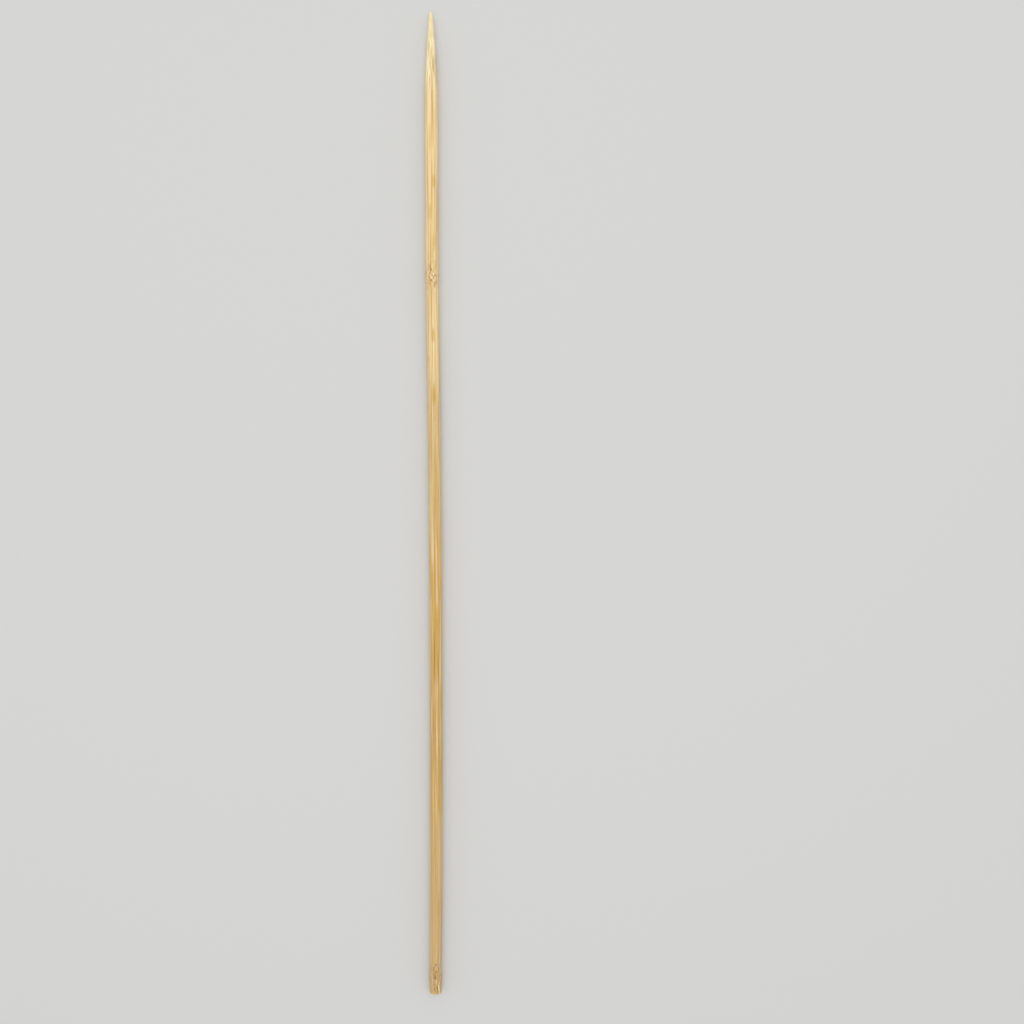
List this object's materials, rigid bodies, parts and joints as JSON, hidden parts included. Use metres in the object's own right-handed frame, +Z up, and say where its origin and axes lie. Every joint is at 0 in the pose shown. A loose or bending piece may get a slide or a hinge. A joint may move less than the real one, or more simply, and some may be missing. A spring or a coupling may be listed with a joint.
{
  "type": "bamboo skewer",
  "caption": "Slim round bamboo rod, sharpened to a long point and cut square at its blunt end, for threading and grilling food.",
  "frame": {"origin": "centre of the square cut face at the blunt end", "axes": "+Y along the rod from the cut face to the point; +X towards the side that the rod bows to; +Z up, square to the plane of the bow"},
  "size_m": [0.006, 0.4, 0.0052],
  "materials": {
    "bamboo": "smooth sanded raw bamboo with straight grain, brown flecks at its nodes and amber streaks"
  },
  "bodies": {
    "root": {"skewer": "bamboo"}
  },
  "joints": []
}
